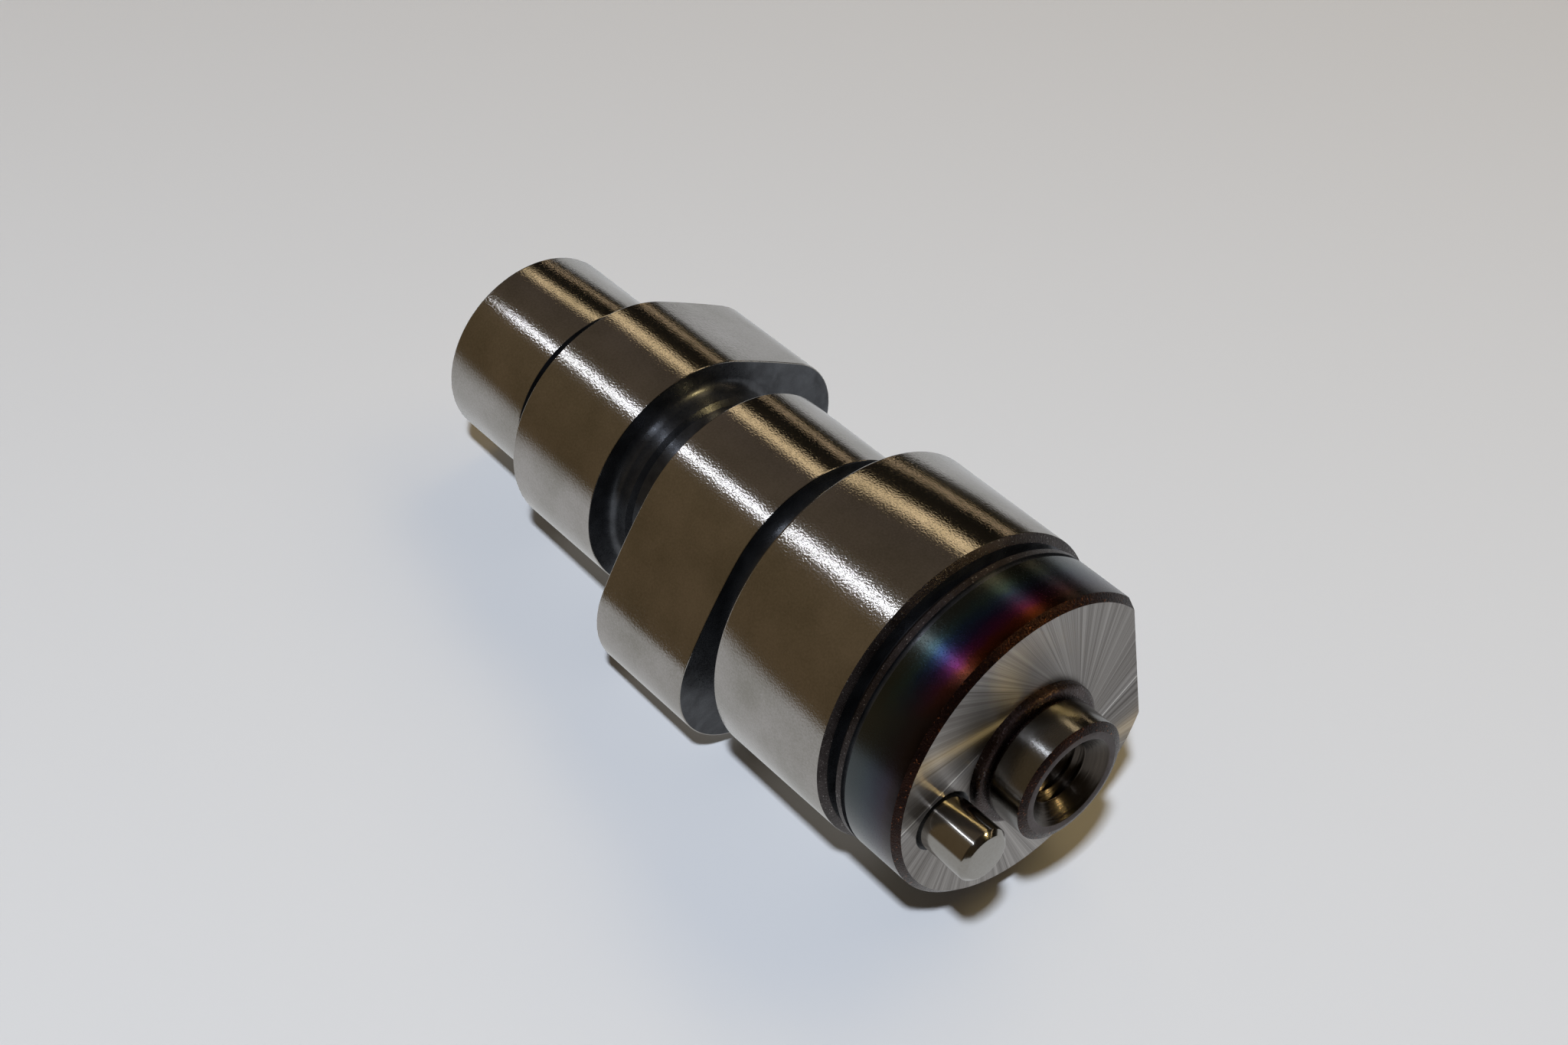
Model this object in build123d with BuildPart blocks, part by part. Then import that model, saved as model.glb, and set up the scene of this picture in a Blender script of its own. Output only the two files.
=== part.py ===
"""Camshaft of a small overhead-cam engine, turned and ground from one steel bar, with its dowel.

The shaft runs between two plain journals. From the rear: rear journal, relief, rear lobe, core
groove, front lobe, front groove, front journal, thrust groove, drive flange and a hollow nose.
The camwheel seats on the flange's ground face, is centred by the nose, timed by the pressed-in
dowel and held by one bolt in the nose. +Z points up to the nose, -Y to the dowel, and the origin is the
middle of the front journal. The shaft rolls when it lies down, so it stands on its rear end, as
one is set down on a bench. Clock angles run counterclockwise from the dowel, seen from the nose.
"""

import os
from math import atan2, cos, degrees, radians, sin, sqrt, tan

from build123d import *

# ---- driving dimensions, millimetres and degrees -------------------------------------------

rear_journal_radius = 11.3
rear_journal_width = 14.0
rear_journal_chamfer = 0.6
rear_relief_radius = 10.5
rear_relief_width = 2.2
rear_centre_radius = 2.4  # mouth of the 60 degree grinding centre in the rear end
rear_centre_pilot_radius = 0.9
rear_centre_pilot_depth = 3.6

base_radius = 14.0  # base circle of both lobes
lobe_edge_break = 0.25
rear_lobe_width = 13.5
rear_lobe_lift = 5.4
rear_lobe_nose_radius = 9.0
rear_lobe_flank_radius = 150.0
rear_lobe_clock = 169.5  # from the dowel, counterclockwise as seen from the nose
front_lobe_width = 13.9
front_lobe_lift = 6.3
front_lobe_nose_radius = 9.8
front_lobe_flank_radius = 70.0
front_lobe_clock = 24.0

core_radius = 10.4
core_groove_width = 6.9
core_step_height = 0.6  # the rear part of the groove floor is turned this much larger
core_step_width = 2.8
core_step_bevel = 0.45
core_groove_fillet = 1.1
front_groove_width = 4.8
front_groove_bevel = 0.8

front_journal_radius = 18.0
front_journal_width = 16.25
front_journal_lead = 0.45  # length and depth of the steep lead at its front edge
front_journal_lead_depth = 0.9
front_journal_chamfer = 0.3

thrust_groove_width = 1.15
thrust_groove_radius = 15.2
flange_radius = 17.4
flange_width = 8.9
flange_chamfer = 0.7
flange_rear_chamfer = 0.45
flange_flat_distance = 14.55  # from the axis; the flat lies opposite the dowel
flange_lip_width = 1.15  # the lip behind the fine turned line
flange_line_width = 0.6
flange_line_depth = 0.35

collar_radius = 7.95
collar_height = 1.1
collar_round = 0.55
nose_undercut_radius = 6.45
nose_undercut_width = 0.35
nose_radius = 6.8
nose_length = 5.65  # from the flange face
nose_chamfer = 0.35
nose_chamfer_depth = 0.95
bolt_hole_radius = 3.4  # tapping size for an 8 mm bolt
bolt_hole_mouth_radius = 4.75
bolt_hole_depth = 26.0
drill_point_angle = 118.0

dowel_radius = 3.0
dowel_length = 16.0
dowel_stand_out = 6.0
dowel_chamfer = 0.55
dowel_pitch_radius = 11.5
dowel_seat_clearance = 0.5  # air below the dowel in its blind hole
dowel_mouth_radius = 3.4

# ---- stations along the shaft, from the rear end ---------------------------------------------

relief_rear = rear_journal_width
rear_lobe_rear = relief_rear + rear_relief_width
rear_lobe_front = rear_lobe_rear + rear_lobe_width
front_lobe_rear = rear_lobe_front + core_groove_width
front_lobe_front = front_lobe_rear + front_lobe_width
journal_rear = front_lobe_front + front_groove_width
journal_middle = journal_rear + front_journal_width / 2
journal_front = journal_rear + front_journal_width
flange_rear = journal_front + thrust_groove_width
flange_face = flange_rear + flange_width
collar_front = flange_face + collar_height
nose_end = flange_face + nose_length

# ---- planes and outlines -------------------------------------------------------------------------


def across(station, clock=0.0):
    """The plane across the shaft at a station, its x turned to a clock angle from the dowel."""
    angle = radians(clock)
    return Plane(origin=(0, 0, station - journal_middle), x_dir=(sin(angle), -cos(angle), 0))


def cam_outline(lift, nose_radius, flank_radius):
    """A three-arc cam about the origin, its nose on +X: base circle, two flanks and the nose.

    Each flank holds the base circle and the nose touching it from inside.
    """
    nose_x = base_radius + lift - nose_radius
    to_base = flank_radius - base_radius
    to_nose = flank_radius - nose_radius
    flank_x = (nose_x**2 + to_base**2 - to_nose**2) / (2 * nose_x)
    flank_y = -sqrt(to_base**2 - flank_x**2)
    base_angle = degrees(atan2(-flank_y, -flank_x))
    nose_angle = degrees(atan2(-flank_y, nose_x - flank_x))
    with BuildSketch() as cam:
        with BuildLine():
            CenterArc((0, 0), base_radius, base_angle, 180 - base_angle)
            CenterArc((flank_x, flank_y), flank_radius, nose_angle, base_angle - nose_angle)
            CenterArc((nose_x, 0), nose_radius, 0, nose_angle)
            mirror(about=Plane.XZ)
        make_face()
    return cam.sketch


# ---- the shaft: one turned bar with two lobes ground on it -------------------------------------

hub_radius = (core_radius + core_step_height + core_groove_fillet + base_radius) / 2
step_front = rear_lobe_front + core_step_width
centre_depth = (rear_centre_radius - rear_centre_pilot_radius) * sqrt(3)
mouth_depth = bolt_hole_mouth_radius - bolt_hole_radius
bolt_hole_bottom = nose_end - bolt_hole_depth
bolt_hole_tip = bolt_hole_bottom - bolt_hole_radius / tan(radians(drill_point_angle / 2))
line_rear = flange_rear + flange_lip_width
line_front = line_rear + flange_line_width

with BuildPart() as lobes:
    with BuildSketch(across(rear_lobe_rear, rear_lobe_clock)):
        add(cam_outline(rear_lobe_lift, rear_lobe_nose_radius, rear_lobe_flank_radius))
    extrude(amount=rear_lobe_width)
    with BuildSketch(across(front_lobe_rear, front_lobe_clock)):
        add(cam_outline(front_lobe_lift, front_lobe_nose_radius, front_lobe_flank_radius))
    extrude(amount=front_lobe_width)
    chamfer(lobes.faces().filter_by(GeomType.PLANE).edges(), lobe_edge_break)

with BuildPart() as camshaft:
    # half-section: its x runs along the shaft from the rear end and its y is the radius
    with BuildSketch(Plane(origin=(0, 0, -journal_middle), x_dir=(0, 0, 1), z_dir=(0, 1, 0))) as section:
        with BuildLine():
            Polyline(
                # rear end with its grinding centre, and the rear journal
                (rear_centre_pilot_depth, 0),
                (rear_centre_pilot_depth, rear_centre_pilot_radius),
                (centre_depth, rear_centre_pilot_radius),
                (0, rear_centre_radius),
                (0, rear_journal_radius - rear_journal_chamfer),
                (rear_journal_chamfer, rear_journal_radius),
                (relief_rear, rear_journal_radius),
                (relief_rear, rear_relief_radius),
                (rear_lobe_rear, rear_relief_radius),
                # hub of the rear lobe, stepped core groove, hub of the front lobe
                (rear_lobe_rear, hub_radius),
                (rear_lobe_front, hub_radius),
                (rear_lobe_front, core_radius + core_step_height),
                (step_front - core_step_bevel, core_radius + core_step_height),
                (step_front, core_radius),
                (front_lobe_rear, core_radius),
                (front_lobe_rear, hub_radius),
                (front_lobe_front, hub_radius),
                (front_lobe_front, core_radius + front_groove_bevel),
                (front_lobe_front + front_groove_bevel, core_radius),
                (journal_rear - front_groove_bevel, core_radius),
                (journal_rear, core_radius + front_groove_bevel),
                # front journal with its steep lead, and the thrust groove
                (journal_rear, front_journal_radius - front_journal_chamfer),
                (journal_rear + front_journal_chamfer, front_journal_radius),
                (journal_front - front_journal_lead, front_journal_radius),
                (journal_front, front_journal_radius - front_journal_lead_depth),
                (journal_front, thrust_groove_radius),
                (flange_rear, thrust_groove_radius),
                # drive flange with its lip and fine turned line
                (flange_rear, flange_radius - flange_rear_chamfer),
                (flange_rear + flange_rear_chamfer, flange_radius),
                (line_rear, flange_radius),
                (line_rear, flange_radius - flange_line_depth),
                (line_front, flange_radius - flange_line_depth),
                (line_front, flange_radius),
                (flange_face - flange_chamfer, flange_radius),
                (flange_face, flange_radius - flange_chamfer),
                # collar, undercut and hollow nose
                (flange_face, collar_radius),
                (collar_front, collar_radius),
                (collar_front, nose_undercut_radius),
                (collar_front + nose_undercut_width, nose_undercut_radius),
                (collar_front + nose_undercut_width, nose_radius),
                (nose_end - nose_chamfer, nose_radius),
                (nose_end, nose_radius - nose_chamfer_depth),
                (nose_end, bolt_hole_mouth_radius),
                (nose_end - mouth_depth, bolt_hole_radius),
                (bolt_hole_bottom, bolt_hole_radius),
                (bolt_hole_tip, 0),
                close=True,
            )
        make_face()
        for corner, radius in (
            ((rear_lobe_front, core_radius + core_step_height), core_groove_fillet),
            ((front_lobe_rear, core_radius), core_groove_fillet),
            ((collar_front, collar_radius), collar_round),
        ):
            fillet(section.vertices().sort_by_distance(corner)[0], radius)
    revolve(axis=Axis.Z)

    add(lobes.part)

    # the flat on the flange, opposite the dowel
    with BuildSketch(across(flange_face)):
        with Locations((-flange_flat_distance - flange_radius / 2, 0)):
            Rectangle(flange_radius, 3 * flange_radius)
    extrude(amount=-flange_width, mode=Mode.SUBTRACT)

    # the dowel's blind hole
    with Locations(across(flange_face)):
        with Locations((dowel_pitch_radius, 0)):
            CounterSinkHole(
                dowel_radius,
                dowel_mouth_radius,
                dowel_length - dowel_stand_out + dowel_seat_clearance,
                counter_sink_angle=90,
            )

# ---- the dowel, pressed into the flange --------------------------------------------------------

with BuildPart() as dowel_pin:
    with BuildSketch(across(flange_face + dowel_stand_out - dowel_length)):
        with Locations((dowel_pitch_radius, 0)):
            Circle(dowel_radius)
    extrude(amount=dowel_length)
    chamfer(dowel_pin.edges().filter_by(GeomType.CIRCLE), dowel_chamfer)

os.makedirs("parts", exist_ok=True)
camshaft.part.label = "camshaft"
export_step(camshaft.part, "parts/camshaft.step")
dowel_pin.part.label = "dowel_pin"
export_step(dowel_pin.part, "parts/dowel_pin.step")
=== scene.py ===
from functools import partial
from math import atan2, cos, pi, radians, sin, sqrt

import bmesh
import bpy
from mathutils import Matrix, Vector


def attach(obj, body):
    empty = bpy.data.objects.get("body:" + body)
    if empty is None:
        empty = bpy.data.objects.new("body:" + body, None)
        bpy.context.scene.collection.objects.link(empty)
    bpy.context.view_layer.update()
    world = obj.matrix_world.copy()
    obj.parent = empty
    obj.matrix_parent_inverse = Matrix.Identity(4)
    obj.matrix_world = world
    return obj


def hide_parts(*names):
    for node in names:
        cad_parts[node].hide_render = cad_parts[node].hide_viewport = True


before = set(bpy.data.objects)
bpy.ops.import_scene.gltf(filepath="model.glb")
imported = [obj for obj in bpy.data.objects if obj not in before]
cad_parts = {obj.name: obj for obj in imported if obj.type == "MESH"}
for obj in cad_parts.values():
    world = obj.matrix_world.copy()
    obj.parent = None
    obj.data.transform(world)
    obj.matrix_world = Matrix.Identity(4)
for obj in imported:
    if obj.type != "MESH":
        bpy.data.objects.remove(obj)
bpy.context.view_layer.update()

# ---- Shaft: the turned bar ---------------------------------------------------------------------
# One bar of case-hardening steel, turned between centres and hardened. Its journals are ground
# bright, and the relief and both grooves keep the black skin of the furnace. Stations, which count
# from the rear end, and radii are in millimetres.
mm = 0.001
journal_middle = 63.425  # station of the origin
shaft_steps = 240
weld_distance = 0.002

centre_depth, centre_radius = 2.598, 2.4  # the 60 degree grinding centre in the rear end
pilot_depth, pilot_radius = 3.6, 0.9
rear_journal_radius, rear_journal_chamfer = 11.3, 0.6
relief_rear, relief_radius = 13.3, 10.5
rear_lobe_rear, rear_lobe_front = 16.2, 29.7
step_rear, step_front, step_radius = 32.05, 32.5, 11.0
core_radius, core_corner = 10.4, 1.1
front_lobe_rear, front_lobe_front = 36.6, 50.5
front_groove_radius, front_groove_corner = 11.9, 1.3
front_groove_cone, front_groove_cone_radius = 54.5, 12.7
journal_rear, journal_front, journal_radius = 55.3, 71.55, 18.0
journal_chamfer, lead_length, lead_depth = 0.3, 0.45, 0.9
thrust_groove_radius, flange_rear = 15.2, 72.7
bolt_hole_radius, bolt_hole_bottom, bolt_hole_tip = 3.4, 61.25, 59.2
inside_lobe = 1.0  # how far the bar's own surface runs on inside a lobe
stoned_edge = 0.08  # edges are broken with a stone


def height(station):
    """The z of a station, in metres."""
    return (station - journal_middle) * mm


def colour(hexcode):
    """An sRGB hex value as the linear colour that a socket takes."""
    values = [int(hexcode[i:i + 2], 16) / 255 for i in (1, 3, 5)]
    return (*[v / 12.92 if v <= 0.04045 else ((v + 0.055) / 1.055) ** 2.4 for v in values], 1)


def fill(node, inputs):
    """Sets a node's inputs to values, or links them to a socket or to a node's first output in use."""
    for name, value in inputs.items():
        if isinstance(value, bpy.types.Node):
            value = next(output for output in value.outputs if output.enabled)
        if isinstance(value, bpy.types.NodeSocket):
            node.id_data.links.new(value, node.inputs[name])
        else:
            node.inputs[name].default_value = value


def add_node(material, kind, inputs=None, **settings):
    """Adds a shader node, sets its properties and fills its inputs."""
    node = material.node_tree.nodes.new("ShaderNode" + kind)
    for name, value in settings.items():
        setattr(node, name, value)
    fill(node, inputs or {})
    return node


def new_finish(name, inputs):
    """A metal's material, its shader with these inputs set, and add_node for that material."""
    material = bpy.data.materials.new(name)
    material.use_nodes = True
    shader = material.node_tree.nodes["Principled BSDF"]
    fill(shader, {"Metallic": 1, **inputs})
    return material, shader, partial(add_node, material)


def ground_finish(name, light, dark, roughness, mark_pitch, grain_size, depth):
    """Cylindrically ground hardened steel: fine marks run round the axis, over a fine grain. Sizes in mm.

    The marks of a 60 grit wheel are about 0.03 mm apart, drawn coarser here so that they show.
    """
    round_scale, cloud_size = 0.45 / mm, 6.0  # a mark runs about 2 mm round the axis
    material, shader, add = new_finish(name, {"Anisotropic": 0.55})
    place = add("TexCoord").outputs["Object"]
    marks = add("Mapping", {"Vector": place, "Scale": (round_scale, round_scale, 1 / (mark_pitch * mm))})
    lines = add("TexNoise", {"Vector": marks, "Scale": 1, "Detail": 1, "Roughness": 0.5})
    grain = add("TexNoise", {"Vector": place, "Scale": 1 / (grain_size * mm), "Detail": 2, "Roughness": 0.55})
    cloud = add("TexNoise", {"Vector": place, "Scale": 1 / (cloud_size * mm), "Detail": 3})
    mottle = add("Math", {0: grain, 1: 0.7, 2: cloud}, operation="MULTIPLY_ADD")
    spread = add("MapRange", {"Value": mottle, "From Min": 0.6, "From Max": 1.1})
    tone = add("Mix", {"Factor": spread, "A": colour(light), "B": colour(dark)}, data_type="RGBA")
    rough = add("MapRange", {"Value": cloud, "To Min": roughness * 0.8, "To Max": roughness * 1.2})
    relief = add("Math", {0: lines, 1: 0.4, 2: grain}, operation="MULTIPLY_ADD")
    bump = add("Bump", {"Strength": 1, "Distance": depth * mm, "Height": relief})
    axis = add("CombineXYZ", {"Z": 1.0})
    fill(shader, {"Base Color": tone, "Roughness": rough, "Normal": bump, "Tangent": axis})
    return material


def skin_finish(name, light, dark, metallic, roughness, grain_size, depth, speck=None):
    """A furnace skin on steel: soft patches under a grain, with specks of bare metal if speck is given.

    Sizes in mm. The oxide's real grain is a few hundredths across, drawn coarser here so that it shows.
    """
    patch_size = 2.5
    material, shader, add = new_finish(name, {"Metallic": metallic, "Anisotropic": 0.7})
    place = add("TexCoord").outputs["Object"]
    grain = add("TexNoise", {"Vector": place, "Scale": 1 / (grain_size * mm), "Detail": 4, "Roughness": 0.65})
    cloud = add("TexNoise", {"Vector": place, "Scale": 1 / (patch_size * mm), "Detail": 3, "Distortion": 0.4})
    patch = add("MapRange", {"Value": cloud, "From Min": 0.3, "From Max": 0.7})
    tone = add("Mix", {"Factor": patch, "A": colour(dark), "B": colour(light)}, data_type="RGBA")
    if speck:
        bare = add("MapRange", {"Value": grain, "From Min": 0.62, "From Max": 0.7})
        tone = add("Mix", {"Factor": bare, "A": tone, "B": colour(speck)}, data_type="RGBA")
    rough = add("MapRange", {
        "Value": grain, "From Min": 0.3, "From Max": 0.7,
        "To Min": roughness * 1.25, "To Max": roughness * 0.75,
    })
    bump = add("Bump", {"Strength": 1, "Distance": depth * mm, "Height": grain})
    round_axis = add("VectorMath", {0: (0, 0, 1), 1: place}, operation="CROSS_PRODUCT")
    facing = add("NewGeometry").outputs["Normal"]
    across = add("VectorMath", {0: facing, 1: round_axis}, operation="CROSS_PRODUCT")
    fill(shader, {"Base Color": tone, "Roughness": rough, "Normal": bump, "Tangent": across})
    return material


def bore_finish():
    """Drilled and countersunk steel: fine rings left by the tool."""
    round_scale, ring_pitch, ring_depth = 0.08 / mm, 0.25, 0.06
    material, shader, add = new_finish("drilled and countersunk steel", {})
    place = add("TexCoord").outputs["Object"]
    rings = add("Mapping", {"Vector": place, "Scale": (round_scale, round_scale, 1 / (ring_pitch * mm))})
    cuts = add("TexNoise", {"Vector": rings, "Scale": 1, "Detail": 3, "Roughness": 0.7})
    tone = add("Mix", {"Factor": cuts, "A": colour("#302c29"), "B": colour("#5e564e")}, data_type="RGBA")
    rough = add("MapRange", {"Value": cuts, "To Min": 0.14, "To Max": 0.34})
    bump = add("Bump", {"Strength": 1, "Distance": ring_depth * mm, "Height": cuts})
    fill(shader, {"Base Color": tone, "Roughness": rough, "Normal": bump})
    return material


shaft_finishes = []


def add_finish(finish):
    """Adds a finish to the shaft and returns its number, which faces take as their material index."""
    shaft_finishes.append(finish)
    return len(shaft_finishes) - 1


# Bare steel off the wheel: bright, with narrow highlights that the marks and the grain roughen.
ground = add_finish(ground_finish(
    "cylindrically ground hardened steel", "#b6b1ad", "#9b978f", roughness=0.11,
    mark_pitch=0.25, grain_size=0.22, depth=0.016,
))
# The furnace's oxide: blue-black with a soft sheen.
blackened = add_finish(skin_finish(
    "blue-black furnace skin", "#5b5d61", "#3e3f42", metallic=0.9, roughness=0.31,
    grain_size=0.3, depth=0.006,
))
# The same oxide on rougher turning: nearly black, with pale specks of bare metal.
lead_skin = add_finish(skin_finish(
    "speckled furnace skin", "#453e3d", "#2e2827", metallic=0.9, roughness=0.38,
    grain_size=0.26, depth=0.08, speck="#b0aaa6",
))
# Tool marks in a hole: dark steel with thin bright rings.
bored = add_finish(bore_finish())


def join(piece, part):
    """Adds a finished part of the mesh to the piece."""
    skin = bpy.data.meshes.new("part")
    part.to_mesh(skin)
    part.free()
    piece.from_mesh(skin)
    bpy.data.meshes.remove(skin)


def turn(piece, profile, finish):
    """Spins a run of (station, radius) points round the shaft and gives its faces a finish."""
    run = bmesh.new()
    points = [run.verts.new((radius * mm, 0, height(station))) for station, radius in profile]
    edges = [run.edges.new(pair) for pair in zip(points, points[1:])]
    bmesh.ops.spin(
        run, geom=points + edges, cent=(0, 0, 0), axis=(0, 0, 1), dvec=(0, 0, 0),
        angle=2 * pi, steps=shaft_steps, use_merge=True,
    )
    for face in run.faces:
        face.material_index = finish
    join(piece, run)


def close_turning(piece):
    """Joins the turned runs into one closed skin that faces outwards."""
    bmesh.ops.remove_doubles(piece, verts=piece.verts, dist=weld_distance * mm)
    bmesh.ops.dissolve_degenerate(piece, edges=piece.edges, dist=0.25 * weld_distance * mm)
    bmesh.ops.recalc_face_normals(piece, faces=piece.faces)


def rings_at(piece, *places):
    """The edges that run round the shaft at the given (station, radius) places."""
    near = 0.01 * mm
    found = []
    for edge in piece.edges:
        ends = [(v.co.z, Vector(v.co.xy).length) for v in edge.verts]
        for station, radius in places:
            if all(abs(z - height(station)) < near and abs(r - radius * mm) < near for z, r in ends):
                found.append(edge)
    return found


def round_edges(piece, edges, size, segments):
    """Rounds edges by a size in mm."""
    bmesh.ops.bevel(
        piece, geom=edges, offset=size * mm, offset_type="OFFSET", segments=segments,
        profile=0.5, affect="EDGES", material=-1, clamp_overlap=True,
    )


shaft = bmesh.new()
turn(shaft, [
    (pilot_depth, 0), (pilot_depth, pilot_radius), (centre_depth, pilot_radius), (0, centre_radius),
], bored)
turn(shaft, [
    (0, centre_radius), (0, rear_journal_radius - rear_journal_chamfer),
    (rear_journal_chamfer, rear_journal_radius), (relief_rear, rear_journal_radius),
], ground)
corner_station = front_lobe_front + front_groove_corner
corner_height = front_groove_radius + front_groove_corner
front_groove_arc = [
    (corner_station - front_groove_corner * cos(radians(angle)),
     corner_height - front_groove_corner * sin(radians(angle)))
    for angle in range(0, 91, 10)
]
turn(shaft, [
    (relief_rear, rear_journal_radius), (relief_rear, relief_radius),
    (rear_lobe_rear + inside_lobe, relief_radius), (rear_lobe_front - inside_lobe, step_radius + core_corner),
    (rear_lobe_front, step_radius + core_corner), (rear_lobe_front, step_radius),
    (step_rear, step_radius), (step_front, core_radius), (front_lobe_rear, core_radius),
    (front_lobe_rear, core_radius + core_corner), (front_lobe_rear + inside_lobe, core_radius + core_corner),
    *front_groove_arc, (front_groove_cone, front_groove_radius), (journal_rear, front_groove_cone_radius),
    (journal_rear, journal_radius - journal_chamfer),
], blackened)
turn(shaft, [
    (journal_rear, journal_radius - journal_chamfer), (journal_rear + journal_chamfer, journal_radius),
    (journal_front - lead_length, journal_radius),
], ground)
turn(shaft, [
    (journal_front - lead_length, journal_radius), (journal_front, journal_radius - lead_depth),
], lead_skin)
turn(shaft, [
    (journal_front, journal_radius - lead_depth), (journal_front, thrust_groove_radius),
    (flange_rear, thrust_groove_radius), (flange_rear, bolt_hole_radius),
], blackened)
turn(shaft, [
    (flange_rear, bolt_hole_radius), (bolt_hole_bottom, bolt_hole_radius), (bolt_hole_tip, 0),
], bored)
close_turning(shaft)
core_corners = rings_at(shaft, (rear_lobe_front, step_radius), (front_lobe_rear, core_radius))
round_edges(shaft, core_corners, core_corner, 8)
ground_edges = rings_at(
    shaft, (rear_journal_chamfer, rear_journal_radius), (0, rear_journal_radius - rear_journal_chamfer),
    (relief_rear, rear_journal_radius), (journal_front - lead_length, journal_radius),
    (journal_rear + journal_chamfer, journal_radius),
)
round_edges(shaft, ground_edges, stoned_edge, 2)

# ---- Lobes: two cams ground on the bar ---------------------------------------------------------
# Each lobe is a three-arc cam: base circle, two flanks and the nose. Its track is ground and its
# sides stay as they left the furnace. The edges are broken with a stone.
base_radius = 14.0
lobe_edge = 0.1
flank_steps, nose_steps, base_steps = 24, 60, 120


def finish_lobe(lobe):
    """The two flat sides, which have many corners, keep the furnace skin, and the rest is ground."""
    for face in lobe.faces:
        face.material_index = blackened if len(face.verts) > 4 else ground


def grind_lobe(rear, front, lift, nose_radius, flank_radius, clock):
    """A closed lobe from rear to front, its nose at a clock angle counterclockwise from the dowel."""
    nose_x = base_radius + lift - nose_radius
    to_base, to_nose = flank_radius - base_radius, flank_radius - nose_radius
    flank_x = (nose_x**2 + to_base**2 - to_nose**2) / (2 * nose_x)
    flank_y = -sqrt(to_base**2 - flank_x**2)
    base_angle = atan2(-flank_y, -flank_x)
    nose_angle = atan2(-flank_y, nose_x - flank_x)
    lobe = bmesh.new()
    start = Matrix.Rotation(-base_angle, 3, "Z") @ Vector((base_radius * mm, 0, height(rear)))
    point = lobe.verts.new(start)
    arcs = (
        ((flank_x, -flank_y), base_angle - nose_angle, flank_steps),
        ((nose_x, 0), 2 * nose_angle, nose_steps),
        ((flank_x, flank_y), base_angle - nose_angle, flank_steps),
        ((0, 0), 2 * (pi - base_angle), base_steps),
    )
    for (x, y), angle, steps in arcs:
        turned = bmesh.ops.spin(
            lobe, geom=[point], cent=(x * mm, y * mm, 0), axis=(0, 0, 1), dvec=(0, 0, 0),
            angle=angle, steps=steps,
        )
        point = turned["geom_last"][0]
    bmesh.ops.remove_doubles(lobe, verts=lobe.verts, dist=weld_distance * mm)
    side = bmesh.ops.contextual_create(lobe, geom=lobe.edges)["faces"]
    grown = bmesh.ops.extrude_face_region(lobe, geom=side, use_keep_orig=True)["geom"]
    front_points = [g for g in grown if isinstance(g, bmesh.types.BMVert)]
    bmesh.ops.translate(lobe, verts=front_points, vec=(0, 0, (front - rear) * mm))
    bmesh.ops.recalc_face_normals(lobe, faces=lobe.faces)
    finish_lobe(lobe)
    rims = {edge for face in lobe.faces if len(face.verts) > 4 for edge in face.edges}
    round_edges(lobe, list(rims), lobe_edge, 2)
    finish_lobe(lobe)
    to_clock = Matrix.Rotation(radians(clock - 90), 3, "Z")
    bmesh.ops.rotate(lobe, verts=lobe.verts, cent=(0, 0, 0), matrix=to_clock)
    join(shaft, lobe)


grind_lobe(rear_lobe_rear, rear_lobe_front, lift=5.4, nose_radius=9.0, flank_radius=150.0, clock=169.5)
grind_lobe(front_lobe_rear, front_lobe_front, lift=6.3, nose_radius=9.8, flank_radius=70.0, clock=24.0)

# ---- Drive flange ------------------------------------------------------------------------------
# The camwheel seats on its front face, which a cup wheel has ground to a fan of straight marks.
# The rim carries the temper colours, a fine turned line behind them and a flat opposite the dowel.
flange_face, flange_radius, flat_distance = 81.6, 17.4, 14.55
flange_rear_chamfer, flange_front_chamfer = 0.45, 0.7
line_rear, line_front, line_depth = 73.85, 74.45, 0.35
dowel_pitch_radius, dowel_radius = 11.5, 3.0
dowel_mouth_radius, dowel_mouth_depth, dowel_hole_depth = 3.4, 0.4, 10.5
temper_front = 81.3


def set_stops(ramp_node, stops):
    """Puts (position, hex colour) stops on a colour ramp, the first at 0 and the last at 1."""
    elements = ramp_node.color_ramp.elements
    for position, tone in stops:
        stop = elements[0] if position == 0 else elements[-1] if position == 1 else elements.new(position)
        stop.color = colour(tone)


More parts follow.
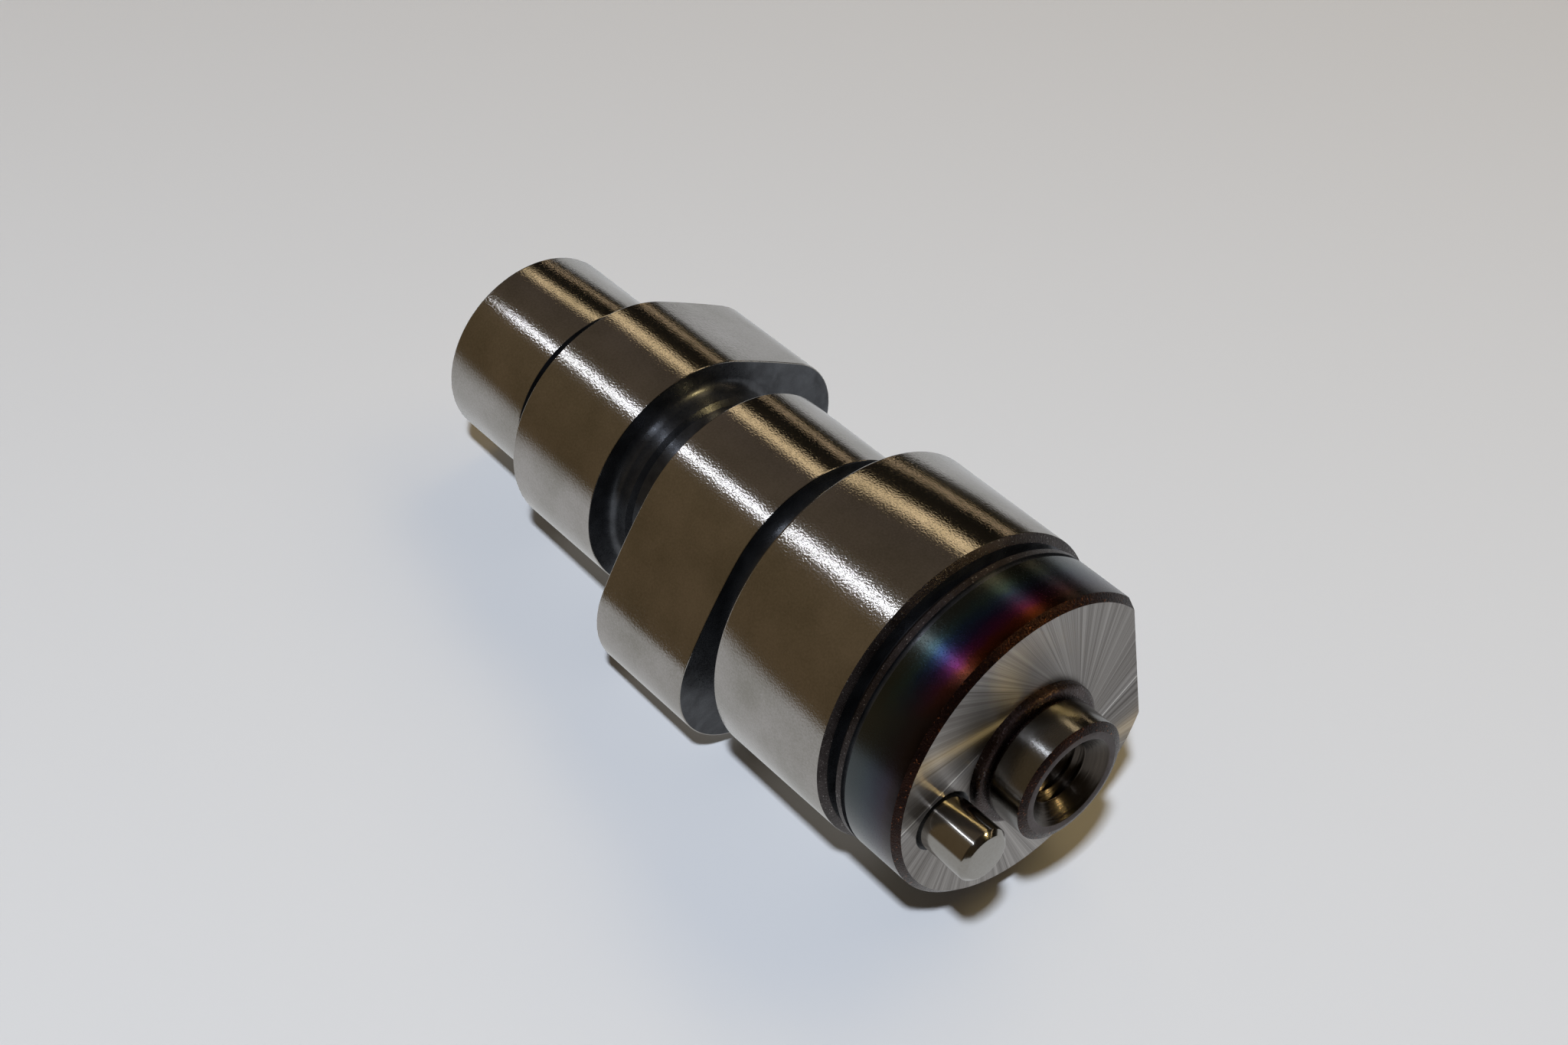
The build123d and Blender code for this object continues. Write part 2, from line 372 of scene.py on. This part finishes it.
def temper_finish():
    """Temper colours round the rim: grey-green at the back, then blue, violet, red and brown in front.

    They are strong on the one side where the highlights fall and greyer elsewhere: painted light laid
    over the real temper colours. The rim's real grain is finer than 0.1 mm, drawn coarser here so that it
    shows.
    """
    highlight_side_way = (-0.999, -0.035, 0)
    cloud_size, grain_size, grain_depth = 1.6, 0.2, 0.006
    wander = 0.7  # how far the colours stray along the rim
    material, shader, add = new_finish("temper-coloured turned steel rim", {"Anisotropic": 0.4})
    place = add("TexCoord").outputs["Object"]
    cloud = add("TexNoise", {"Vector": place, "Scale": 1 / (cloud_size * mm), "Detail": 4, "Roughness": 0.6})
    grain = add("TexNoise", {"Vector": place, "Scale": 1 / (grain_size * mm), "Detail": 3, "Roughness": 0.7})
    level = add("SeparateXYZ", {"Vector": place}).outputs["Z"]
    shift = add("MapRange", {"Value": cloud, "To Min": -wander * mm, "To Max": wander * mm})
    moved = add("Math", {0: level, 1: shift}, operation="ADD")
    along = add("MapRange", {
        "Value": moved, "From Min": height(flange_rear), "From Max": height(temper_front),
    })
    tints = add("ValToRGB", {"Fac": along})
    set_stops(tints, (
        (0, "#404340"), (0.28, "#3f4644"), (0.40, "#384b50"), (0.51, "#2c3c58"), (0.62, "#33294e"),
        (0.75, "#522044"), (0.84, "#5a2620"), (0.92, "#4a220c"), (1, "#1a110e"),
    ))
    off_highlight_tints = add("ValToRGB", {"Fac": along})
    set_stops(off_highlight_tints, ((0, "#565b5c"), (0.5, "#484d50"), (0.8, "#353940"), (1, "#1f1c1c")))
    # Painted light: the rim's colours are strong only on the side where the highlights fall, and greyer
    # elsewhere.
    outward = add("VectorMath", {0: place}, operation="NORMALIZE")
    toward_highlight_side = add("VectorMath", {0: outward, 1: highlight_side_way}, operation="DOT_PRODUCT")
    patch = add("MapRange", {
        "Value": toward_highlight_side, "From Min": 0.58, "From Max": 0.70, "To Min": 0.15, "To Max": 1.0,
    })
    tone = add("Mix", {"Factor": patch, "A": off_highlight_tints, "B": tints}, data_type="RGBA")
    rough = add("MapRange", {"Value": grain, "From Min": 0.3, "From Max": 0.7, "To Min": 0.17, "To Max": 0.3})
    bump = add("Bump", {"Strength": 1, "Distance": grain_depth * mm, "Height": grain})
    axis = add("CombineXYZ", {"Z": 1.0})
    fill(shader, {"Base Color": tone, "Roughness": rough, "Normal": bump, "Tangent": axis})
    return material


def face_finish():
    """The front face off the cup wheel: straight marks fan out, each touching a circle near the collar.

    The wheel's marks are about 0.03 mm apart, drawn coarser here so that they show.
    """
    touched_radius = 6.6
    fine_pitch, broad_pitch, mark_depth = 0.06, 0.38, 0.008
    pitch_radius = 11.4  # where the marks are their pitch apart: they close up towards the collar
    glint_solid, glint_gone = 0.05, 0.16  # how far from its middle a bright line is solid, and gone
    material, shader, add = new_finish("cup-wheel ground steel face", {"Anisotropic": 1.0})
    place = add("TexCoord").outputs["Object"]
    flat = add("VectorMath", {0: place, 1: (1, 1, 0)}, operation="MULTIPLY")
    radius = add("VectorMath", {0: flat}, operation="LENGTH")
    outward = add("VectorMath", {0: flat}, operation="NORMALIZE")
    round_axis = add("VectorMath", {0: (0, 0, 1), 1: outward}, operation="CROSS_PRODUCT")
    # A mark leans from the outward way by the angle whose sine is touched_radius / radius.
    sine = add("Math", {0: touched_radius * mm, 1: radius}, operation="DIVIDE")
    sine = add("Math", {0: sine, 1: 0.98}, operation="MINIMUM")
    angle = add("Math", {0: sine}, operation="ARCSINE")
    cosine = add("Math", {0: angle}, operation="COSINE")
    out_part = add("VectorMath", {0: outward, "Scale": cosine}, operation="SCALE")
    side_part = add("VectorMath", {0: round_axis, "Scale": sine}, operation="SCALE")
    mark = add("VectorMath", {0: out_part, 1: side_part}, operation="ADD")
    across = add("VectorMath", {0: (0, 0, 1), 1: mark}, operation="CROSS_PRODUCT")
    fine = add("TexNoise", {
        "Vector": mark, "Scale": pitch_radius / fine_pitch, "Detail": 2, "Roughness": 0.8,
    })
    broad = add("TexNoise", {"Vector": mark, "Scale": pitch_radius / broad_pitch, "Detail": 2})
    lines = add("Math", {0: fine, 1: broad}, operation="ADD")
    shade = add("MapRange", {"Value": lines, "From Min": 0.7, "From Max": 1.3})
    tone = add("Mix", {"Factor": shade, "A": colour("#7d7874"), "B": colour("#b9b4b0")}, data_type="RGBA")
    y = add("SeparateXYZ", {"Vector": place}).outputs["Y"]
    # Two painted highlights, bright lines drawn into the colour where the marks catch the lamp: the way
    # across each, how far out, its ends in y.
    for across_way, distance, low_y, high_y in (
        ((0.968, 0.25, 0), -6.8, -16.5, -6.3),
        ((0.941, 0.338, 0), 6.92, 9.4, 14.5),
    ):
        off = add("VectorMath", {0: place, 1: across_way}, operation="DOT_PRODUCT")
        off = add("Math", {0: off, 1: distance * mm}, operation="SUBTRACT")
        off = add("Math", {0: off}, operation="ABSOLUTE")
        line = add("MapRange", {
            "Value": off, "From Min": glint_solid * mm, "From Max": glint_gone * mm, "To Min": 1, "To Max": 0,
        })
        above = add("Math", {0: y, 1: low_y * mm}, operation="GREATER_THAN")
        below = add("Math", {0: y, 1: high_y * mm}, operation="LESS_THAN")
        between = add("Math", {0: above, 1: below}, operation="MULTIPLY")
        painted_glint = add("Math", {0: between, 1: line}, operation="MULTIPLY")
        tone = add("Mix", {"Factor": painted_glint, "A": tone, "B": colour("#efebe6")}, data_type="RGBA")
    rough = add("MapRange", {"Value": shade, "To Min": 0.40, "To Max": 0.28})
    bump = add("Bump", {"Strength": 1, "Distance": mark_depth * mm, "Height": fine})
    fill(shader, {"Base Color": tone, "Roughness": rough, "Normal": bump, "Tangent": across})
    return material


# Thin oxide over fine turning: dark, with its rainbow colours painted strong on the side where the highlights
# fall.
tinted = add_finish(temper_finish())
# Wheel marks on bare steel: bright rays that move as the face turns, and two painted highlight lines.
face_ground = add_finish(face_finish())
# Oxide grown brown in tempering: warm and dark, with coppery specks.
tinted_edge = add_finish(skin_finish(
    "brown temper colour on a turned chamfer", "#32201a", "#1d1412", metallic=1, roughness=0.28,
    grain_size=0.26, depth=0.08, speck="#a8623a",
))

flange = bmesh.new()
rear_edge_radius = flange_radius - flange_rear_chamfer
front_edge_radius = flange_radius - flange_front_chamfer
chamfer_rear = flange_face - flange_front_chamfer
turn(flange, [(flange_rear, bolt_hole_radius), (flange_rear, rear_edge_radius)], blackened)
turn(flange, [
    (flange_rear, rear_edge_radius), (flange_rear + flange_rear_chamfer, flange_radius),
    (line_rear, flange_radius),
], lead_skin)
turn(flange, [
    (line_rear, flange_radius), (line_rear, flange_radius - line_depth),
    (line_front, flange_radius - line_depth), (line_front, flange_radius),
], blackened)
turn(flange, [(line_front, flange_radius), (chamfer_rear, flange_radius)], tinted)
turn(flange, [(chamfer_rear, flange_radius), (flange_face, front_edge_radius)], tinted_edge)
turn(flange, [(flange_face, front_edge_radius), (flange_face, bolt_hole_radius)], face_ground)
turn(flange, [(flange_face, bolt_hole_radius), (flange_rear, bolt_hole_radius)], bored)
close_turning(flange)

# The flat is cut across the rim and closed again.
cut = bmesh.ops.bisect_plane(
    flange, geom=[*flange.verts, *flange.edges, *flange.faces], dist=0.0001 * mm,
    plane_co=(0, flat_distance * mm, 0), plane_no=(0, 1, 0), clear_outer=True,
)["geom_cut"]
bmesh.ops.contextual_create(flange, geom=[g for g in cut if isinstance(g, bmesh.types.BMEdge)], mat_nr=ground)

# The face is filled again round the dowel hole's mouth, and the hole goes down from there.
on_face = 0.001 * mm
old_face = [f for f in flange.faces if all(abs(v.co.z - height(flange_face)) < on_face for v in f.verts)]
bmesh.ops.delete(flange, geom=old_face, context="FACES_ONLY")
rim = [e for e in flange.edges if e.is_boundary and abs(e.verts[0].co.z - height(flange_face)) < on_face]
mouth = bmesh.ops.create_circle(
    flange, cap_ends=False, segments=64, radius=dowel_mouth_radius * mm,
    matrix=Matrix.Translation((0, -dowel_pitch_radius * mm, height(flange_face))),
)["verts"]
mouth_edges = list({e for v in mouth for e in v.link_edges})
filled = bmesh.ops.triangle_fill(flange, use_beauty=True, edges=rim + mouth_edges, normal=(0, 0, 1))["geom"]
for face in filled:
    if isinstance(face, bmesh.types.BMFace):
        face.material_index = face_ground
hole_middle = Matrix.Translation((0, dowel_pitch_radius * mm, 0))
for drop, narrowing in (
    (dowel_mouth_depth, dowel_radius / dowel_mouth_radius),
    (dowel_hole_depth - dowel_mouth_depth, 1),
):
    grown = bmesh.ops.extrude_edge_only(flange, edges=mouth_edges)["geom"]
    mouth = [g for g in grown if isinstance(g, bmesh.types.BMVert)]
    mouth_edges = [e for e in grown if isinstance(e, bmesh.types.BMEdge) and all(v in mouth for v in e.verts)]
    bmesh.ops.translate(flange, verts=mouth, vec=(0, 0, -drop * mm))
    bmesh.ops.scale(flange, verts=mouth, vec=(narrowing, narrowing, 1), space=hole_middle)
    for face in {f for v in mouth for f in v.link_faces}:
        face.material_index = blackened
bmesh.ops.contextual_create(flange, geom=mouth_edges, mat_nr=blackened)
bmesh.ops.recalc_face_normals(flange, faces=flange.faces)
join(shaft, flange)

# ---- Collar and hollow nose --------------------------------------------------------------------
# A low collar keeps its furnace skin. The nose in front of it is ground to centre the camwheel,
# and is bored and tapped for its bolt. The thread's turns are drawn as rings, one to a pitch.
collar_front, collar_radius, collar_round = 82.7, 7.95, 0.55
undercut_radius, nose_rear = 6.45, 83.05
nose_radius, nose_end, nose_chamfer, nose_chamfer_depth = 6.8, 87.25, 0.35, 0.95
nose_bore_mouth = 5.05
thread_top, thread_radius, thread_pitch, thread_points = 86.2, 4.0, 1.25, 8
nose_edge = 0.06

# Oxide on fine turning: brown, glossier than in the grooves, with grey specks.
collar_skin = add_finish(skin_finish(
    "dark brown furnace skin", "#4a3b38", "#302725", metallic=1, roughness=0.26,
    grain_size=0.26, depth=0.07, speck="#9d9aa0",
))
# A thin oxide on the turned end: an even, duller grey-brown.
end_skin = add_finish(skin_finish(
    "grey-brown skin on the turned end", "#564e4d", "#4b4443", metallic=1, roughness=0.4,
    grain_size=0.3, depth=0.008,
))
# Ground steel with a trace of oxide left on it: greyer and softer than the journals.
nose_ground = add_finish(ground_finish(
    "ground steel of the nose", "#8b8a88", "#787673", roughness=0.2,
    mark_pitch=0.2, grain_size=0.2, depth=0.008,
))

nose = bmesh.new()
nose_edge_radius = nose_radius - nose_chamfer_depth
turn(nose, [
    (flange_face, bolt_hole_radius), (flange_face, collar_radius), (collar_front, collar_radius),
    (collar_front, undercut_radius), (nose_rear, undercut_radius), (nose_rear, nose_radius),
], collar_skin)
turn(nose, [(nose_rear, nose_radius), (nose_end - nose_chamfer, nose_radius)], nose_ground)
turn(nose, [(nose_end - nose_chamfer, nose_radius), (nose_end, nose_edge_radius)], tinted_edge)
turn(nose, [(nose_end, nose_edge_radius), (nose_end, nose_bore_mouth)], end_skin)
thread = [
    (thread_top - thread_pitch * half_turn / 2, bolt_hole_radius if half_turn % 2 else thread_radius)
    for half_turn in range(thread_points)
]
turn(nose, [(nose_end, nose_bore_mouth), *thread, (flange_face, bolt_hole_radius)], bored)
close_turning(nose)
round_edges(nose, rings_at(nose, (collar_front, collar_radius)), collar_round, 6)
nose_edges = rings_at(
    nose, (nose_end - nose_chamfer, nose_radius), (nose_end, nose_edge_radius), (nose_end, nose_bore_mouth),
    (nose_rear, nose_radius),
)
round_edges(nose, nose_edges, nose_edge, 2)
join(shaft, nose)


def make_object(name, shape, finishes):
    """A finished shape as an object, its faces smooth and its edges sharp past 20 degrees."""
    for face in shape.faces:
        face.smooth = True
    mesh = bpy.data.meshes.new(name)
    shape.to_mesh(mesh)
    shape.free()
    mesh.set_sharp_from_angle(angle=radians(20))
    for finish in finishes:
        mesh.materials.append(finish)
    made = bpy.data.objects.new(name, mesh)
    bpy.context.scene.collection.objects.link(made)
    return made


camshaft = make_object("camshaft_ground", shaft, shaft_finishes)
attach(camshaft, "root")
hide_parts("camshaft")

# ---- Dowel -------------------------------------------------------------------------------------
# A standard hardened dowel of 6 mm, centreless ground and polished, with a chamfer at both ends. It
# is pressed into the flange face, where it times the camwheel.
dowel_rear, dowel_front = flange_face - 10.0, flange_face + 6.0
dowel_end_radius, dowel_taper, dowel_end_round = 2.45, 0.55, 0.12

dowel = bmesh.new()
turn(dowel, [
    (dowel_rear, 0), (dowel_rear, dowel_end_radius), (dowel_rear + dowel_taper, dowel_radius),
    (dowel_front - dowel_taper, dowel_radius), (dowel_front, dowel_end_radius), (dowel_front, 0),
], 0)
close_turning(dowel)
dowel_edges = rings_at(dowel, (dowel_front - dowel_taper, dowel_radius), (dowel_front, dowel_end_radius))
round_edges(dowel, dowel_edges, dowel_end_round, 3)
bmesh.ops.translate(dowel, verts=dowel.verts, vec=(0, -dowel_pitch_radius * mm, 0))

# Polished bearing steel: smooth and even, so that it mirrors its surroundings a little softened.
polished = ground_finish(
    "polished bearing steel", "#a8a5a0", "#9f9b94", roughness=0.15,
    mark_pitch=0.1, grain_size=0.3, depth=0.001,
)
timing_dowel = make_object("timing_dowel", dowel, [polished])
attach(timing_dowel, "root")
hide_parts("dowel_pin")

# ---- Bench, light and camera -------------------------------------------------------------------
# The shaft is seen as if it lay on a white bench top, which passes under the journal and the lobes.
# The bench shows from above only, so that the other sides of the shaft are seen past it, and it
# fades out past its edge. Sizes are in metres here.
bench_up = Vector((-0.9702, 0.2199, 0.10164)).normalized()
bench_drop, bench_half_width = 0.0187, 2.0
edge_way, edge_point = Vector((0.0025, 0.0797, -0.1483)), Vector((-0.0037, -0.0904, -0.0236))
past_edge, edge_margin = bench_up.cross(edge_way).normalized(), 0.008
edge_distance = past_edge.dot(edge_point) + edge_margin
mirrored_fade_width, seen_fade_width = 0.045, 0.12
far_way = (0.04, 0.563, -0.826)  # along the bench, away from where it is seen from
falloff_start, falloff_end = -0.02, 0.22

bench_shape = bmesh.new()
bench_place = Matrix.Translation(bench_up * -bench_drop)
bench_turn = Vector((0, 0, 1)).rotation_difference(bench_up).to_matrix().to_4x4()
bmesh.ops.create_grid(
    bench_shape, x_segments=1, y_segments=1, size=bench_half_width, matrix=bench_place @ bench_turn,
)

# White laminate: an even matt white, with painted shade that darkens it a little far off, where less light
# falls.
bench_white = bpy.data.materials.new("white laminate bench top")
bench_white.use_nodes = True
bench_nodes = bench_white.node_tree.nodes
bench_nodes.remove(bench_nodes["Principled BSDF"])
add = partial(add_node, bench_white)
spot = add("TexCoord").outputs["Object"]
# Painted shade: the white turns a little greyer away from the near side, as the light falls off.
far_off = add("VectorMath", {0: spot, 1: far_way}, operation="DOT_PRODUCT")
painted_falloff = add(
    "MapRange", {"Value": far_off, "From Min": falloff_start, "From Max": falloff_end},
    interpolation_type="SMOOTHSTEP",
)
tone = add("Mix", {"Factor": painted_falloff, "A": colour("#e4e6e8"), "B": colour("#d6d6d6")}, data_type="RGBA")
lit = add("BsdfDiffuse", {"Color": tone})
mirrored_tone = add("Emission", {"Color": colour("#c6c8ca"), "Strength": 1.0})
bench_ray = add("LightPath")
laid = add("MixShader", {0: bench_ray.outputs["Is Glossy Ray"], 1: lit, 2: mirrored_tone})
clear = add("BsdfTransparent")
inside = add("VectorMath", {0: spot, 1: tuple(-past_edge)}, operation="DOT_PRODUCT")
mirrored_fade = add(
    "MapRange",
    {"Value": inside, "From Min": -edge_distance, "From Max": mirrored_fade_width - edge_distance},
    interpolation_type="SMOOTHSTEP",
)
seen_fade = add(
    "MapRange",
    {"Value": inside, "From Min": -seen_fade_width - edge_distance, "From Max": -edge_distance},
    interpolation_type="SMOOTHSTEP",
)
mirrored = add("Math", {0: bench_ray.outputs["Is Glossy Ray"], 1: mirrored_fade}, operation="MULTIPLY")
seen = add(
    "Math", {0: bench_ray.outputs["Is Camera Ray"], 1: seen_fade, 2: mirrored}, operation="MULTIPLY_ADD",
)
upper_side = add("Math", {0: 1.0, 1: add("NewGeometry").outputs["Backfacing"]}, operation="SUBTRACT")
shown = add("Math", {0: seen, 1: upper_side}, operation="MULTIPLY")
bench_surface = add("MixShader", {0: shown, 1: clear, 2: laid})
fill(bench_nodes["Material Output"], {"Surface": bench_surface})
bench = make_object("bench_top", bench_shape, [bench_white])

# A dim brown room, darkest on one side, is what the steel reflects. The camera sees a pale wall.
world = bpy.data.worlds.new("room")
bpy.context.scene.world = world
world.use_nodes = True
add = partial(add_node, world)
sky = add("TexCoord").outputs["Generated"]
around = add("TexGradient", {"Vector": sky}, gradient_type="RADIAL").outputs["Fac"]
walls = add("ValToRGB", {"Fac": around})
set_stops(walls, (
    (0.0, "#5f5548"), (0.06, "#6e604a"), (0.24, "#6a5b45"), (0.68, "#8a8378"), (0.74, "#2c2820"),
    (0.80, "#1c1915"), (0.84, "#231f19"), (0.90, "#5a5148"), (1.0, "#5f5548"),
))
level = add("SeparateXYZ", {"Vector": sky}).outputs["Z"]
dimming = add("MapRange", {"Value": level, "From Min": -0.1, "From Max": 0.4, "To Min": 1.0, "To Max": 0.3})
room = world.node_tree.nodes["Background"]
fill(room, {"Color": walls, "Strength": dimming})
pale_wall = add("Background", {"Color": colour("#d2d0cd"), "Strength": 1.0})
room_ray = add("LightPath").outputs["Is Camera Ray"]
room_surface = add("MixShader", {0: room_ray, 1: room, 2: pale_wall})
fill(world.node_tree.nodes["World Output"], {"Surface": room_surface})


def strip_lamp(name, clock, low, high, distance, wide, tone, radiance):
    """A soft strip parallel to the shaft, facing it from a clock angle counterclockwise from the dowel.

    Its ends low and high, its distance from the axis and its width are in metres.
    """
    away = Vector((sin(radians(clock)), -cos(radians(clock)), 0))
    tall = high - low
    data = bpy.data.lights.new(name, "AREA")
    data.shape, data.size, data.size_y = "RECTANGLE", wide, tall
    data.color = colour(tone)[:3]
    data.energy = radiance * 4 * wide * tall
    lamp = bpy.data.objects.new(name, data)
    lamp_turn = Matrix(((-away.y, 0, away.x), (away.x, 0, away.y), (0, 1, 0))).to_4x4()
    lamp.matrix_world = Matrix.Translation(away * distance + Vector((0, 0, (low + high) / 2))) @ lamp_turn
    bpy.context.scene.collection.objects.link(lamp)
    return lamp


# The window: a thin line and a faint glow in the steel, and the light that casts the sharp shadow.
cool_strip = strip_lamp("cool_strip", 283, -1.3, 1.1, 1.0, 0.03, "#e9f1ff", 10.0)
cool_strip.visible_diffuse = False
cool_glow = strip_lamp("cool_glow", 283, -1.3, 1.1, 1.02, 0.3, "#e9f1ff", 0.12)
cool_glow.visible_diffuse = False
cool_key = strip_lamp("cool_key", 282, 0.295, 0.375, 1.0, 0.06, "#eaf2ff", 510.0)
cool_key.visible_glossy = False
# The room's lamps: two brass-coloured bands in the steel, a glint in the countersink, and a wide soft
# light that turns the sharp shadow tan and casts a faint bluish one.
strip_lamp("warm_strip", 222, -1.4, 0.3, 1.0, 0.16, "#ffe6b8", 1.0)
strip_lamp("far_strip", 189, -1.4, 1.2, 1.0, 0.025, "#ffe2b8", 1.8)
warm_spot = strip_lamp("warm_spot", 215, 0.75, 0.95, 1.0, 0.08, "#ffe4a0", 80.0)
warm_spot.visible_diffuse = False
warm_fill = strip_lamp("warm_fill", 219, -0.6, 0.9, 1.6, 1.0, "#ffdc92", 0.75)
warm_fill.visible_glossy = False

# The camera looks down on the nose end from one side.
camera_data = bpy.data.cameras.new("camera")
camera_data.lens, camera_data.sensor_width = 57.985, 36
camera_data.clip_start, camera_data.clip_end = 0.01, 20
camera = bpy.data.objects.new("camera", camera_data)
camera.matrix_world = Matrix((
    (0.13013, -0.65125, -0.74765, -0.19866),
    (0.75338, 0.55518, -0.35247, -0.09124),
    (0.64460, -0.51738, 0.56286, 0.12824),
    (0, 0, 0, 1),
))
bpy.context.scene.collection.objects.link(camera)
bpy.context.scene.camera = camera
bpy.context.scene.view_settings.view_transform = "Standard"
